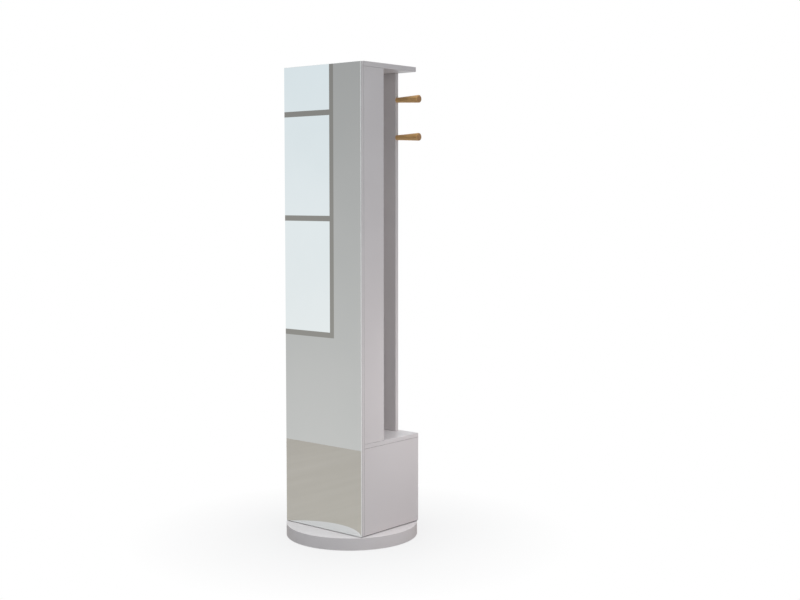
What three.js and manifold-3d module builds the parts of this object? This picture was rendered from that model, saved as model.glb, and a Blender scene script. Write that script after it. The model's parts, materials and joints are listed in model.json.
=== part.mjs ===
// A revolving wardrobe cabinet: a tall mirror in front, coat pegs and a clothes rail behind it,
// two drawers below, all turning on a ball-bearing ring that is let into a round base.
// Millimetres, +Z up. The origin is the centre of the base's underside, on the turning axis.
// The mirror faces -Y and the drawers open towards +Y.

import * as THREE from "three";
import { mergeVertices } from "three/addons/utils/BufferGeometryUtils.js";
import Module from "manifold-3d";

const wasm = await Module();
wasm.setup();

// Clearances that hold everywhere

const seatGap = 0.2; // hairline between two pieces that are fastened face to face
const edgeEase = 0.8; // chamfer on every sawn edge of a board
const cutOverrun = 1; // how far a cutting body reaches past the face that it opens

// The round base

const baseDiameter = 500;
const baseHeight = 48;
const baseEdgeRound = 1.5;
const baseTopThickness = 18;
const baseRimThickness = 18;
const basePlateThickness = 6;
const basePlateRebate = 8; // how far the bottom plate reaches under the rim
const basePlateGap = 0.5; // round the bottom plate's edge
const footPadDiameter = 36;
const footPadThickness = 2;
const footPadInset = 45; // a pad's centre from the base's edge
const footPadCount = 6;

// The ball-bearing ring

const shadowGap = 2; // between the base and the cabinet that turns over it
const ringHeight = 9;
const ringStep = 1; // the inner ring stands this much higher than the outer ring
const ballCircle = 264;
const ballDiameter = 6;
const ballCount = 18;
const ballClearance = 0.3;
const ringGap = 2.4; // between the two rings, where the ball cage runs
const outerRingWidth = 16.8;
const innerRingWidth = 15.8;
const cageThickness = 1.4;
const cageHeight = 5;
const ringRecessGap = 1; // between the outer ring and the wall of its recess
const ringSeatMargin = 3.2; // how far the recess's floor reaches inside the outer ring
const supportRingMargin = 10; // how far the support ring reaches outside the outer ring
const ringHoleDiameter = 5;
const ringHoleHeadDiameter = 9;
const ringHoleHeadDepth = 2.5;
const ringHoleCount = 6;

// The cabinet

const cabinetWidth = 386;
const cabinetHeight = 1723;
const mirrorToAxis = 160;
const mirrorThickness = 5;
const backingThickness = 12;
const mirrorTopDrop = 2; // the mirror ends this much below the top panel's upper face
const boardThickness = 16;
const topPanelThickness = 18;
const lowerCabinetHeight = 339;
const upperSetBack = 16; // from the lower cabinet's rear edge to the rear board
const sidePanelReach = 126; // mirror face to the rear edge of the narrow side panels
const rearBoardWidth = 212;

// The coat pegs

const pegReach = 112;
const pegRootDiameter = 19;
const pegTipDiameter = 29;
const pegTipRound = 4;
const pegTipDome = 1.5;
const pegTenonDiameter = 10;
const pegTenonLength = 28;
const pegTenonClearance = 0.3;
const pegDrops = { upper: 119, lower: 260 }; // below the top of the cabinet

// The clothes rail

const railDiameter = 25;
const railWall = 1.5;
const railDrop = 163; // below the top of the cabinet
const railEndGap = 0.5;
const flangeDiameter = 52;
const flangeThickness = 3;
const flangeCupDepth = 15;
const flangeCupWall = 2.2;
const flangeCupGap = 0.3;
const flangeHoleDiameter = 4.5;
const flangeHoleCircle = 42;
const flangeHoleCount = 2;

// The drawers

const drawerGap = 2.5; // round each inset drawer front
const drawerBackGap = 30.4; // between a closed drawer and the mirror's backing
const drawerBoardThickness = 12;
const drawerBottomThickness = 5;
const drawerBottomRise = 10; // sides' lower edge to the bottom panel
const drawerGrooveDepth = 6;
const drawerGrooveGap = 0.3;
const drawerBoxRise = 14; // front's lower edge to the sides' lower edge
const notchWidth = 96;
const notchDepth = 20;
const notchMargin = 5.75; // from the notch down to the sides' upper edge

// The ball-bearing runners, one on each side of a drawer

const runnerLength = 250;
const runnerSetBack = 2; // behind the drawer front
const runnerBackMargin = 10.2; // from a runner's far end to the far end of the drawer
const runnerOverlap = 60; // left between the two members when the drawer is fully open
const runnerWidth = 12.7;
const runnerHeight = 35;
const runnerSteel = 1.2;
const runnerLipDepth = 2.4;
const runnerInnerHeight = 23.4;
const runnerInnerReach = 9.6; // across the runner, from the drawer's side
const runnerBallDiameter = 3.9;
const runnerBallCount = 3; // along each edge of a retainer
const retainerLength = 110;
const retainerStop = 2; // left in front of the retainer when the drawer is fully open
const retainerStrip = 1;
const retainerWebGap = 0.5; // between the retainer's web and the outer member's web
const retainerArmReach = 6.2;
const retainerBallInset = 8; // first ball from the retainer's end

// Facets of round forms

const baseSegments = 80;
const ringSegments = 60;
const turnedSegments = 24;
const padSegments = 16;
const holeSegments = 12;
const screwHoleSegments = 8;
const ballSegments = 6;
const ballRings = 4;
const grooveSteps = 4;
const roundSteps = 3;

// Heights and depths that follow from the sizes above. The runners' length sets the drawers' length,
// and that sets how deep the cabinet is.

const baseRadius = baseDiameter / 2;
const cabinetFloor = baseHeight + shadowGap;
const cabinetTop = cabinetFloor + cabinetHeight;
const lowerTop = cabinetFloor + lowerCabinetHeight;
const outsideX = cabinetWidth / 2;
const insideX = outsideX - boardThickness;
const mirrorFace = -mirrorToAxis;
const backingFace = mirrorFace + mirrorThickness + seatGap;
const carcassFront = backingFace + backingThickness + seatGap;
const drawerBoxLength = runnerLength + runnerSetBack + runnerBackMargin - seatGap;
const drawerTravel = runnerLength - runnerOverlap;
const drawerFrontFace = carcassFront + drawerBackGap + drawerBoxLength + seatGap;
const lowerRear = drawerFrontFace + boardThickness;
const upperRear = lowerRear - upperSetBack;
const topPanelFloor = cabinetTop - topPanelThickness;
const lowerCeiling = lowerTop - boardThickness;
const bottomBoardTop = cabinetFloor + boardThickness;
const rearBoardFace = upperRear - boardThickness;
const outerRingNear = (ballCircle + ringGap) / 2;
const innerRingNear = (ballCircle - ringGap) / 2;
const ringOutsideRadius = outerRingNear + outerRingWidth;
const ringBoreRadius = innerRingNear - innerRingWidth;
const wellRadius = outerRingNear - ringSeatMargin;
const ringFloor = cabinetFloor - seatGap - ringHeight - ringStep;
const recessFloor = ringFloor - seatGap;
const ballHeight = ringFloor + (ringHeight + ringStep) / 2;

// Finishes

const finishes = {
  lacquer: new THREE.MeshStandardMaterial({ color: 0xdcd9dc, roughness: 0.42, metalness: 0 }),
  mirror: new THREE.MeshStandardMaterial({ color: 0xe6eaec, roughness: 0.03, metalness: 1 }),
  oak: new THREE.MeshStandardMaterial({ color: 0xa9794a, roughness: 0.55, metalness: 0 }),
  chrome: new THREE.MeshStandardMaterial({ color: 0xd8dadc, roughness: 0.15, metalness: 1 }),
  aluminium: new THREE.MeshStandardMaterial({ color: 0xb9bcc0, roughness: 0.4, metalness: 1 }),
  zincSteel: new THREE.MeshStandardMaterial({ color: 0xaeb2b6, roughness: 0.45, metalness: 1 }),
  birch: new THREE.MeshStandardMaterial({ color: 0xd9bf94, roughness: 0.6, metalness: 0 }),
  rubber: new THREE.MeshStandardMaterial({ color: 0x2b2b2d, roughness: 0.9, metalness: 0 }),
};

// Joining and cutting of closed forms

function solidOf(geometry) {
  const bare = geometry.clone();
  bare.deleteAttribute("normal");
  bare.deleteAttribute("uv");
  const merged = mergeVertices(bare);
  const vertProperties = merged.attributes.position.array;
  const triVerts = new Uint32Array(merged.index.array);
  return new wasm.Manifold(new wasm.Mesh({ numProp: 3, vertProperties, triVerts }));
}

function geometryOf(solid) {
  const mesh = solid.getMesh();
  const geometry = new THREE.BufferGeometry();
  geometry.setAttribute("position", new THREE.BufferAttribute(mesh.vertProperties, mesh.numProp));
  geometry.setIndex(new THREE.BufferAttribute(mesh.triVerts, 1));
  geometry.computeVertexNormals();
  return geometry;
}

function cutAway(geometry, tools) {
  let solid = solidOf(geometry);
  for (const tool of tools) {
    solid = solid.subtract(solidOf(tool));
  }
  return geometryOf(solid);
}

function joinTo(geometry, additions) {
  let solid = solidOf(geometry);
  for (const addition of additions) {
    solid = solid.add(solidOf(addition));
  }
  return geometryOf(solid);
}

// Forms that several pieces share

// A profile of [radius, height] points turned round the Z axis, its faces pointing out.
function turned(profile, segments) {
  const closed = [...profile, profile[0]];
  let doubleArea = 0;
  for (let i = 0; i < profile.length; i += 1) {
    const [r0, z0] = closed[i];
    const [r1, z1] = closed[i + 1];
    doubleArea += r0 * z1 - r1 * z0;
  }
  const onAxis = profile[0][0] === 0;
  const path = onAxis ? [...profile] : closed;
  if (doubleArea < 0) {
    path.reverse();
  }
  const points = path.map(([r, z]) => new THREE.Vector2(r, z));
  return new THREE.LatheGeometry(points, segments).rotateX(Math.PI / 2);
}

// Points on an arc in a turned profile, from one angle to another.
function arc(centreR, centreZ, radius, fromAngle, toAngle, steps) {
  const points = [];
  for (let i = 0; i <= steps; i += 1) {
    const angle = fromAngle + ((toAngle - fromAngle) * i) / steps;
    points.push([centreR + radius * Math.cos(angle), centreZ + radius * Math.sin(angle)]);
  }
  return points;
}

// An outline in a plane, pushed to a length along Z with eased ends, and centred on it.
function easedExtrusion(outline, length, ease) {
  const geometry = new THREE.ExtrudeGeometry(outline, {
    depth: length - 2 * ease,
    bevelThickness: ease,
    bevelSize: ease,
    bevelOffset: -ease,
    bevelSegments: 1,
    curveSegments: holeSegments,
  });
  return geometry.translate(0, 0, ease - length / 2);
}

// A rectangle whose four corners are eased.
function easedRectangle(width, height, ease) {
  const w = width / 2;
  const h = height / 2;
  const outline = new THREE.Shape();
  outline.moveTo(ease - w, -h);
  outline.lineTo(w - ease, -h);
  outline.lineTo(w, ease - h);
  outline.lineTo(w, h - ease);
  outline.lineTo(w - ease, h);
  outline.lineTo(ease - w, h);
  outline.lineTo(-w, h - ease);
  outline.lineTo(-w, ease - h);
  outline.closePath();
  return outline;
}

function place(parent, name, finish, geometry, x, y, z) {
  const mesh = new THREE.Mesh(geometry, finish.clone());
  mesh.name = name;
  mesh.position.set(x, y, z);
  parent.add(mesh);
  return mesh;
}

// A board with eased edges that fills three spans, given as [low, high].
function board(parent, name, finish, spanX, spanY, spanZ, ease = edgeEase) {
  const sizes = [spanX, spanY, spanZ].map(([low, high]) => high - low);
  const centres = [spanX, spanY, spanZ].map(([low, high]) => (low + high) / 2);
  const outline = easedRectangle(sizes[0], sizes[1], ease);
  return place(parent, name, finish, easedExtrusion(outline, sizes[2], ease), ...centres);
}

const sides = { left: -1, right: 1 };

// A span along X on one side of the middle, given by its inner and outer distance.
function sideSpan(side, inner, outer) {
  return side > 0 ? [inner, outer] : [-outer, -inner];
}

// Places spread evenly round the Z axis.
function roundTheAxis(count, circleDiameter, turnShare = 0) {
  const places = [];
  for (let i = 0; i < count; i += 1) {
    const angle = ((i + turnShare) / count) * 2 * Math.PI;
    places.push([(circleDiameter / 2) * Math.cos(angle), (circleDiameter / 2) * Math.sin(angle)]);
  }
  return places;
}

// The round base: a hollow lacquered drum, closed from below by a plate on foot pads

function makeBase() {
  const base = new THREE.Group();
  const rimFloor = footPadThickness;
  const topUnderside = baseHeight - baseTopThickness;
  const rimInside = baseRadius - baseRimThickness;
  const rebateInside = rimInside + basePlateRebate;
  const rebateTop = rimFloor + basePlateThickness + seatGap;
  const recessRadius = ringOutsideRadius + ringRecessGap;
  const roundRadius = baseRadius - baseEdgeRound;
  const roundHeight = baseHeight - baseEdgeRound;

  const drum = [
    [baseRadius, rimFloor],
    ...arc(roundRadius, roundHeight, baseEdgeRound, 0, Math.PI / 2, roundSteps),
    [recessRadius, baseHeight],
    [recessRadius, recessFloor],
    [wellRadius, recessFloor],
    [wellRadius, topUnderside],
    [rimInside, topUnderside],
    [rimInside, rebateTop],
    [rebateInside, rebateTop],
    [rebateInside, rimFloor],
  ];
  place(base, "base_drum", finishes.lacquer, turned(drum, baseSegments), 0, 0, 0);

  const plateRadius = rebateInside - basePlateGap;
  const plate = [
    [0, rimFloor],
    [plateRadius, rimFloor],
    [plateRadius, rimFloor + basePlateThickness],
    [0, rimFloor + basePlateThickness],
  ];
  place(base, "base_bottom_plate", finishes.birch, turned(plate, baseSegments), 0, 0, 0);

  const supportRadius = ringOutsideRadius + supportRingMargin;
  const supportRing = [
    [wellRadius, rebateTop],
    [supportRadius, rebateTop],
    [supportRadius, topUnderside - seatGap],
    [wellRadius, topUnderside - seatGap],
  ];
  place(base, "base_support_ring", finishes.birch, turned(supportRing, ringSegments), 0, 0, 0);

  const pad = [
    [0, 0],
    [footPadDiameter / 2, 0],
    [footPadDiameter / 2, footPadThickness - seatGap],
    [0, footPadThickness - seatGap],
  ];
  roundTheAxis(footPadCount, baseDiameter - 2 * footPadInset).forEach(([x, y], i) => {
    place(base, `foot_pad_${i + 1}`, finishes.rubber, turned(pad, padSegments), x, y, 0);
  });
  return base;
}

// The ball-bearing ring: two flat rings with a ball race between them, and a cage of balls

function countersunkHole(bodyLow, bodyHigh, headUp) {
  const shaftRadius = ringHoleDiameter / 2;
  const headRadius = ringHoleHeadDiameter / 2;
  const profile = [
    [0, bodyLow - cutOverrun],
    [shaftRadius, bodyLow - cutOverrun],
    [shaftRadius, bodyHigh - ringHoleHeadDepth],
    [headRadius, bodyHigh],
    [headRadius, bodyHigh + cutOverrun],
    [0, bodyHigh + cutOverrun],
  ];
  const mirrored = profile.map(([r, z]) => [r, bodyLow + bodyHigh - z]);
  return turned(headUp ? profile : mirrored, screwHoleSegments);
}

function makeRing(name, nearRadius, farRadius, floor, headUp) {
  const top = floor + ringHeight;
  const ballRadius = ballCircle / 2;
  const grooveRadius = ballDiameter / 2 + ballClearance;
  const towards = Math.sign(farRadius - nearRadius);
  const halfAngle = Math.acos(Math.abs(nearRadius - ballRadius) / grooveRadius);
  const middleAngle = towards > 0 ? 0 : Math.PI;
  const groove = arc(
    ballRadius,
    ballHeight,
    grooveRadius,
    middleAngle - halfAngle * towards,
    middleAngle + halfAngle * towards,
    grooveSteps,
  );
  const profile = [[nearRadius, floor], ...groove, [nearRadius, top], [farRadius, top], [farRadius, floor]];
  const holes = roundTheAxis(ringHoleCount, nearRadius + farRadius).map(([x, y]) =>
    countersunkHole(floor, top, headUp).translate(x, y, 0),
  );
  const ring = new THREE.Group();
  place(ring, name, finishes.aluminium, cutAway(turned(profile, ringSegments), holes), 0, 0, 0);
  return ring;
}

function makeBallCage() {
  const middle = ballCircle / 2;
  const band = [
    [middle - cageThickness / 2, ballHeight - cageHeight / 2],
    [middle + cageThickness / 2, ballHeight - cageHeight / 2],
    [middle + cageThickness / 2, ballHeight + cageHeight / 2],
    [middle - cageThickness / 2, ballHeight + cageHeight / 2],
  ];
  const balls = roundTheAxis(ballCount, ballCircle, 1 / 2).map(([x, y]) =>
    new THREE.SphereGeometry(ballDiameter / 2, ballSegments, ballRings)
      .rotateX(Math.PI / 2)
      .translate(x, y, ballHeight),
  );
  const cage = new THREE.Group();
  const geometry = joinTo(turned(band, ringSegments), balls);
  place(cage, "turntable_ball_cage", finishes.zincSteel, geometry, 0, 0, 0);
  return cage;
}

function makeTurntable() {
  const turntable = new THREE.Group();
  const innerFloor = ringFloor + ringStep;
  turntable.add(makeRing("turntable_outer_ring", outerRingNear, ringOutsideRadius, ringFloor, true));
  turntable.add(makeRing("turntable_inner_ring", innerRingNear, ringBoreRadius, innerFloor, false));
  turntable.add(makeBallCage());
  return turntable;
}

// The carcass: lower cabinet, narrow side panels, rear board and top, behind a full-height mirror

function makeMirror(cabinet) {
  const wholeWidth = [-outsideX, outsideX];
  const height = [cabinetFloor, cabinetTop - mirrorTopDrop];
  const glass = [mirrorFace, mirrorFace + mirrorThickness];
  const backing = [backingFace, backingFace + backingThickness];
  board(cabinet, "mirror_glass", finishes.mirror, wholeWidth, glass, height);
  board(cabinet, "mirror_backing_board", finishes.lacquer, wholeWidth, backing, height);
}

function makeLowerCabinet(cabinet) {
  const depth = [carcassFront, lowerRear];
  const across = [-outsideX, outsideX];
  const between = [seatGap - insideX, insideX - seatGap];
  board(cabinet, "bottom_board", finishes.lacquer, between, depth, [cabinetFloor, bottomBoardTop]);
  for (const [word, side] of Object.entries(sides)) {
    const span = sideSpan(side, insideX, outsideX);
    const height = [cabinetFloor, lowerCeiling - seatGap];
    board(cabinet, `lower_side_panel_${word}`, finishes.lacquer, span, depth, height);
  }
  board(cabinet, "lower_top_board", finishes.lacquer, across, depth, [lowerCeiling, lowerTop]);
}

function makeUpperCarcass(cabinet) {
  const height = [lowerTop + seatGap, topPanelFloor - seatGap];
  for (const [word, side] of Object.entries(sides)) {
    const span = sideSpan(side, insideX, outsideX);
    const depth = [carcassFront, mirrorFace + sidePanelReach];
    board(cabinet, `upper_side_panel_${word}`, finishes.lacquer, span, depth, height);
  }
  const topAcross = [-outsideX, outsideX];
  const topDepth = [carcassFront, upperRear];
  board(cabinet, "top_panel", finishes.lacquer, topAcross, topDepth, [topPanelFloor, cabinetTop]);

  const boardHeight = height[1] - height[0];
  const middleHeight = (height[0] + height[1]) / 2;
  const outline = easedRectangle(rearBoardWidth, boardThickness, edgeEase);
  const holeRadius = pegTenonDiameter / 2 + pegTenonClearance;
  const holeLength = pegTenonLength + pegTenonClearance + cutOverrun;
  const holes = [];
  for (const side of Object.values(sides)) {
    for (const drop of Object.values(pegDrops)) {
      const hole = new THREE.CylinderGeometry(holeRadius, holeRadius, holeLength, holeSegments);
      const x = side * (rearBoardWidth / 2 + cutOverrun - holeLength / 2);
      holes.push(hole.rotateZ(Math.PI / 2).translate(x, 0, cabinetTop - drop - middleHeight));
    }
  }
  const geometry = cutAway(easedExtrusion(outline, boardHeight, edgeEase), holes);
  place(cabinet, "rear_board", finishes.lacquer, geometry, 0, upperRear - boardThickness / 2, middleHeight);
}

// The coat pegs: cones that widen to a rounded end, each glued by a tenon into the rear board's edge

function pegGeometry() {
  const rootRadius = pegRootDiameter / 2;
  const tipRadius = pegTipDiameter / 2;
  const tenonRadius = pegTenonDiameter / 2;
  const shoulder = pegTenonClearance;
  const taper = Math.atan2(tipRadius - rootRadius, pegReach);
  const round = arc(
    tipRadius - pegTipRound,
    pegReach - pegTipRound - pegTipDome,
    pegTipRound,
    -taper,
    Math.PI / 2,
    roundSteps + 1,
  );
  const profile = [
    [0, -pegTenonLength],
    [tenonRadius - pegTenonClearance, -pegTenonLength],
    [tenonRadius, pegTenonClearance - pegTenonLength],
    [tenonRadius, shoulder],
    [rootRadius, shoulder],
    ...round,
    [0, pegReach],
  ];
  return turned(profile, turnedSegments);
}

function makePegs(cabinet) {
  for (const [word, side] of Object.entries(sides)) {
    for (const [level, drop] of Object.entries(pegDrops)) {
      const x = (side * rearBoardWidth) / 2;
      const y = upperRear - boardThickness / 2;
      const z = cabinetTop - drop;
      const peg = place(cabinet, `peg_${word}_${level}`, finishes.oak, pegGeometry(), x, y, z);
      peg.rotation.y = (side * Math.PI) / 2;
    }
  }
}

// The clothes rail: a tube from front to rear, held in a flanged cup at each end

function flangeGeometry() {
  const cupInside = railDiameter / 2 + flangeCupGap;
  const cupOutside = cupInside + flangeCupWall;
  const profile = [
    [0, 0],
    [flangeDiameter / 2, 0],
    [flangeDiameter / 2, flangeThickness - edgeEase],
    [flangeDiameter / 2 - edgeEase, flangeThickness],
    [cupOutside, flangeThickness],
    [cupOutside, flangeCupDepth - edgeEase],
    [cupOutside - edgeEase, flangeCupDepth],
    [cupInside, flangeCupDepth],
    [cupInside, flangeThickness],
    [0, flangeThickness],
  ];
  const radius = flangeHoleDiameter / 2;
  const holes = roundTheAxis(flangeHoleCount, flangeHoleCircle).map(([x, y]) =>
    new THREE.CylinderGeometry(radius, radius, flangeThickness + 2 * cutOverrun, holeSegments)
      .rotateX(Math.PI / 2)
      .translate(x, y, flangeThickness / 2),
  );
  return cutAway(turned(profile, turnedSegments), holes);
}

function makeClothesRail(cabinet) {
  const height = cabinetTop - railDrop;
  const front = carcassFront + seatGap;
  const rear = rearBoardFace - seatGap;
  const tubeFront = front + flangeThickness + railEndGap;
  const tubeRear = rear - flangeThickness - railEndGap;
  const length = tubeRear - tubeFront;
  const outline = new THREE.Shape().absarc(0, 0, railDiameter / 2, 0, 2 * Math.PI);
  outline.holes.push(new THREE.Path().absarc(0, 0, railDiameter / 2 - railWall, 0, 2 * Math.PI, true));
  const options = { depth: length, bevelEnabled: false, curveSegments: turnedSegments / 2 };
  const tube = new THREE.ExtrudeGeometry(outline, options).translate(0, 0, -length / 2);
  const rail = place(cabinet, "clothes_rail", finishes.chrome, tube, 0, (tubeFront + tubeRear) / 2, height);
  rail.rotation.x = Math.PI / 2;

  const flange = flangeGeometry();
  const frontFlange = place(cabinet, "rail_flange_front", finishes.chrome, flange, 0, front, height);
  frontFlange.rotation.x = -Math.PI / 2;
  const rearFlange = place(cabinet, "rail_flange_rear", finishes.chrome, flange, 0, rear, height);
  rearFlange.rotation.x = Math.PI / 2;
}

// A runner's cross-sections, x across the runner from the cabinet's side panel, y up.
// The outer member is a channel whose lips hold the balls in, the inner member a smaller channel.

function sectionFrom(points) {
  return new THREE.Shape(points.map(([x, y]) => new THREE.Vector2(x, y)));
}

// A channel's upper half is listed from its web's back round to its web's face, then mirrored down.
function channelSection(upperHalf) {
  const lowerHalf = upperHalf.map(([x, y]) => [x, -y]).reverse();
  return sectionFrom([...upperHalf, ...lowerHalf]);
}

const runnerTop = runnerHeight / 2;
const runnerInnerTop = runnerInnerHeight / 2;
const runnerBallX = runnerWidth / 2 - runnerSteel;
const runnerBallRise = (runnerTop - runnerSteel + runnerInnerTop) / 2;
const runnerLipX = runnerBallX + runnerBallDiameter;

const outerSection = channelSection([
  [0, runnerTop],
  [runnerLipX, runnerTop],
  [runnerLipX, runnerTop - runnerLipDepth],
  [runnerLipX - runnerSteel, runnerTop - runnerLipDepth],
  [runnerLipX - runnerSteel, runnerTop - runnerSteel],
  [runnerSteel, runnerTop - runnerSteel],
]);

const innerSection = channelSection([
  [runnerWidth, runnerInnerTop],
  [runnerWidth - runnerInnerReach, runnerInnerTop],
  [runnerWidth - runnerInnerReach, runnerInnerTop - runnerSteel],
  [runnerWidth - runnerSteel, runnerInnerTop - runnerSteel],
]);

const retainerFace = runnerSteel + retainerWebGap;
const retainerTop = runnerBallRise + retainerStrip / 2;
const retainerSection = channelSection([
  [retainerFace, retainerTop],
  [retainerFace + retainerArmReach, retainerTop],
  [retainerFace + retainerArmReach, retainerTop - retainerStrip],
  [retainerFace + retainerStrip, retainerTop - retainerStrip],
]);

// A section pushed to a length and turned so that its length lies along Y, centred on it.
// On the left side of the cabinet the section faces the other way.
function runnerGeometry(section, length, side) {
  const outline = side < 0 ? section : sectionFrom(section.getPoints().map((p) => [-p.x, p.y]));
  const options = { depth: length, bevelEnabled: false };
  return new THREE.ExtrudeGeometry(outline, options).translate(0, 0, -length / 2).rotateX(Math.PI / 2);
}

function retainerGeometry(side) {
  const balls = [];
  const pitch = (retainerLength - 2 * retainerBallInset) / (runnerBallCount - 1);
  for (const rise of [runnerBallRise, -runnerBallRise]) {
    for (let i = 0; i < runnerBallCount; i += 1) {
      const ball = new THREE.SphereGeometry(runnerBallDiameter / 2, ballSegments, ballRings);
      const along = retainerBallInset - retainerLength / 2 + i * pitch;
      balls.push(ball.translate(-side * runnerBallX, along, rise));
    }
  }
  return joinTo(runnerGeometry(retainerSection, retainerLength, side), balls);
}

// A drawer: inset front with a finger notch, box of thin boards, and a runner on each side

function drawerFrontOutline(width, height) {
  const w = width / 2;
  const h = height / 2;
  const outline = new THREE.Shape();
  outline.moveTo(edgeEase - w, -h);
  outline.lineTo(w - edgeEase, -h);
  outline.lineTo(w, edgeEase - h);
  outline.lineTo(w, h - edgeEase);
  outline.lineTo(w - edgeEase, h);
  outline.lineTo(notchWidth / 2, h);
  outline.absellipse(0, h, notchWidth / 2, notchDepth, 0, Math.PI, true);
  outline.lineTo(edgeEase - w, h);
  outline.lineTo(-w, h - edgeEase);
  outline.lineTo(-w, edgeEase - h);
  outline.closePath();
  return outline;
}

// A drawer side's section, x from its outer face inwards, y up from its lower edge,
// with the groove that takes the bottom panel in its inner face.
function drawerSideSection(height) {
  const grooveFloor = drawerBottomRise - drawerGrooveGap;
  const grooveCeiling = drawerBottomRise + drawerBottomThickness + drawerGrooveGap;
  return [
    [0, 0],
    [drawerBoardThickness, 0],
    [drawerBoardThickness, grooveFloor],
    [drawerBoardThickness - drawerGrooveDepth, grooveFloor],
    [drawerBoardThickness - drawerGrooveDepth, grooveCeiling],
    [drawerBoardThickness, grooveCeiling],
    [drawerBoardThickness, height],
    [0, height],
  ];
}

function makeDrawer(cabinet, level, frontFloor, frontHeight) {
  const frontHalf = insideX - drawerGap;
  const frontMiddle = frontFloor + frontHeight / 2;
  const outline = drawerFrontOutline(2 * frontHalf, frontHeight);
  const front = easedExtrusion(outline, boardThickness, edgeEase).rotateX(Math.PI / 2);
  const frontY = lowerRear - boardThickness / 2;
  place(cabinet, `drawer_${level}_front`, finishes.lacquer, front, 0, frontY, frontMiddle);

  const boxFloor = frontFloor + drawerBoxRise;
  const boxTop = frontFloor + frontHeight - notchDepth - notchMargin;
  const boxRear = drawerFrontFace - seatGap;
  const boxFront = boxRear - drawerBoxLength;
  const sideOutside = insideX - runnerWidth - 2 * seatGap;
  const sideInside = sideOutside - drawerBoardThickness;
  const sideSection = drawerSideSection(boxTop - boxFloor);
  for (const [word, side] of Object.entries(sides)) {
    const points = sideSection.map(([x, y]) => [side * (sideOutside - x), y]);
    const options = { depth: drawerBoxLength, bevelEnabled: false };
    const panel = new THREE.ExtrudeGeometry(sectionFrom(points), options).rotateX(Math.PI / 2);
    place(cabinet, `drawer_${level}_side_${word}`, finishes.birch, panel, 0, boxRear, boxFloor);
  }

  const bottomFloor = boxFloor + drawerBottomRise;
  const bottomHalf = sideInside + drawerGrooveDepth - drawerGrooveGap;
  const bottomHeight = [bottomFloor, bottomFloor + drawerBottomThickness];
  const bottomEase = seatGap;
  board(
    cabinet,
    `drawer_${level}_bottom`,
    finishes.birch,
    [-bottomHalf, bottomHalf],
    [boxFront, boxRear],
    bottomHeight,
    bottomEase,
  );
  const backHalf = sideInside - seatGap;
  const backDepth = [boxFront, boxFront + drawerBoardThickness];
  const backHeight = [bottomHeight[1] + seatGap, boxTop];
  board(cabinet, `drawer_${level}_back`, finishes.birch, [-backHalf, backHalf], backDepth, backHeight);

  const runnerRear = drawerFrontFace - runnerSetBack;
  const runnerMiddle = runnerRear - runnerLength / 2;
  const runnerZ = (boxFloor + boxTop) / 2;
  const retainerRear = runnerRear - retainerStop - drawerTravel / 2;
  const retainerMiddle = retainerRear - retainerLength / 2;
  for (const [word, side] of Object.entries(sides)) {
    const x = side * (insideX - seatGap);
    const zinc = finishes.zincSteel;
    const outer = runnerGeometry(outerSection, runnerLength, side);
    place(cabinet, `runner_${level}_outer_${word}`, zinc, outer, x, runnerMiddle, runnerZ);
    const inner = runnerGeometry(innerSection, runnerLength, side);
    place(cabinet, `runner_${level}_inner_${word}`, zinc, inner, x, runnerMiddle, runnerZ);
    const retainer = retainerGeometry(side);
    place(cabinet, `runner_${level}_balls_${word}`, zinc, retainer, x, retainerMiddle, runnerZ);
  }
}

function makeDrawers(cabinet) {
  const openingHeight = lowerCeiling - bottomBoardTop;
  const frontHeight = (openingHeight - 3 * drawerGap) / 2;
  const lowerFloor = bottomBoardTop + drawerGap;
  const upperFloor = lowerFloor + frontHeight + drawerGap;
  makeDrawer(cabinet, "lower", lowerFloor, frontHeight);
  makeDrawer(cabinet, "upper", upperFloor, frontHeight);
}

function makeCabinet() {
  const cabinet = new THREE.Group();
  makeMirror(cabinet);
  makeLowerCabinet(cabinet);
  makeUpperCarcass(cabinet);
  makePegs(cabinet);
  makeClothesRail(cabinet);
  makeDrawers(cabinet);
  return cabinet;
}

const wardrobe = new THREE.Group();
wardrobe.add(makeBase(), makeTurntable(), makeCabinet());

export default wardrobe;
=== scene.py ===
# %% [markdown]
# # Dressing a revolving wardrobe cabinet
#
# The object is a tall, narrow cabinet that turns on a round base. A mirror covers its whole front.
# Behind the mirror are a clothes rail, a rear board with four turned pegs, and two drawers below.
# Its solids come ready made and at their real size. This lesson gives them what the eye meets first:
# softened edges, satin lacquer, silvered glass, turned oak, bright metal and plywood.
#
# Everything is in metres, with Z up. The mirror faces -Y and the drawers open towards +Y.

import json
import math

import bmesh
import bpy
from mathutils import Matrix, Vector


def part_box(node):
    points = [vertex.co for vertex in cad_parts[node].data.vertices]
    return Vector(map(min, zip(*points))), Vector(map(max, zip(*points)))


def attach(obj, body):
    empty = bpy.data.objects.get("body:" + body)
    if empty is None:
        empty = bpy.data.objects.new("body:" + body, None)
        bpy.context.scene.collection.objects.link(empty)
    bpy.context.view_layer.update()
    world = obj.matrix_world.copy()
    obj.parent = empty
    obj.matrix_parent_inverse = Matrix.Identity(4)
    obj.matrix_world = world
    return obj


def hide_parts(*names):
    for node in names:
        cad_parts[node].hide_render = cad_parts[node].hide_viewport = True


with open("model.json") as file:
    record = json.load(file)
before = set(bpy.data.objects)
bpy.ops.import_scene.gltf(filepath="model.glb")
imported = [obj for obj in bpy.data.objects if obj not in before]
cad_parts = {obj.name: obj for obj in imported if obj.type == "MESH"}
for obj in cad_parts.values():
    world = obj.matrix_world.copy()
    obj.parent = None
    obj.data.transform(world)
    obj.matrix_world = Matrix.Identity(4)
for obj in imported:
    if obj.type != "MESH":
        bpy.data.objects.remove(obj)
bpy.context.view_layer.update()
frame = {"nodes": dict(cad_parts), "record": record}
MM = 0.001

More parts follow.
